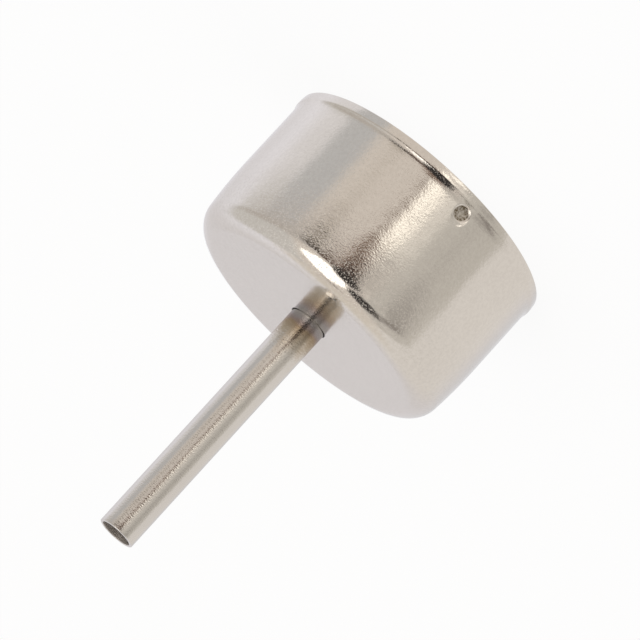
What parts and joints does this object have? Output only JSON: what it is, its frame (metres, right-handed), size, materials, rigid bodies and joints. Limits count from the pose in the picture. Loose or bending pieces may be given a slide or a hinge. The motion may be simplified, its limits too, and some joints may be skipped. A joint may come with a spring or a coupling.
{
  "type": "hot air nozzle",
  "caption": "Hot air nozzle: a drawn metal cup with a stepped lip and dimpled wall, and a narrow straight outlet tube brazed into its flat base.",
  "frame": {"origin": "centre of the rim plane, on the floor that the nozzle stands on", "axes": "+Z along the outlet tube, from the cup's mouth to the outlet; the first dimple is on -Y"},
  "size_m": [0.0368, 0.0368, 0.0542],
  "materials": {
    "nickel_plate": "satin nickel plate with a fine drawn grain",
    "ground_steel": "fine rings round the tube, with heat tint at the seam",
    "braze": "dull, oxidised"
  },
  "bodies": {
    "root": {"cup": "nickel_plate", "tube": "ground_steel", "braze_seam": "braze"}
  },
  "joints": []
}
